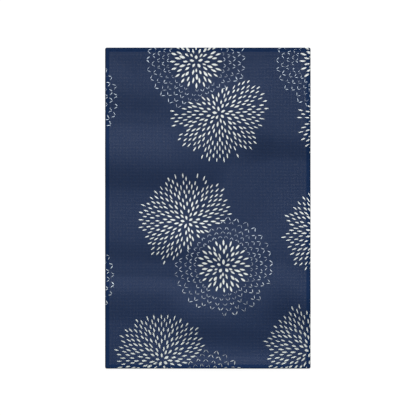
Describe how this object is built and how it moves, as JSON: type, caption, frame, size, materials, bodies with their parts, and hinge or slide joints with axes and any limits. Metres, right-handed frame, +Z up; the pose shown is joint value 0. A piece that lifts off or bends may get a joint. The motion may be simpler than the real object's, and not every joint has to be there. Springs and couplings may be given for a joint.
{
  "type": "tea towel",
  "caption": "Waffle-weave cotton tea towel with a hem turned under on all four edges, lying face up in soft folds.",
  "frame": {"origin": "on the surface that the towel lies on, under the middle of its outline", "axes": "+Z up out of the printed face, +Y along the long edges towards the upper short edge, +X towards the right long edge seen from above"},
  "size_m": [0.4064, 0.635, 0.0077],
  "materials": {
    "printed_cotton": "matt waffle-weave cotton printed navy with off-white flowers"
  },
  "bodies": {
    "root": {"towel": "printed_cotton"}
  },
  "joints": []
}
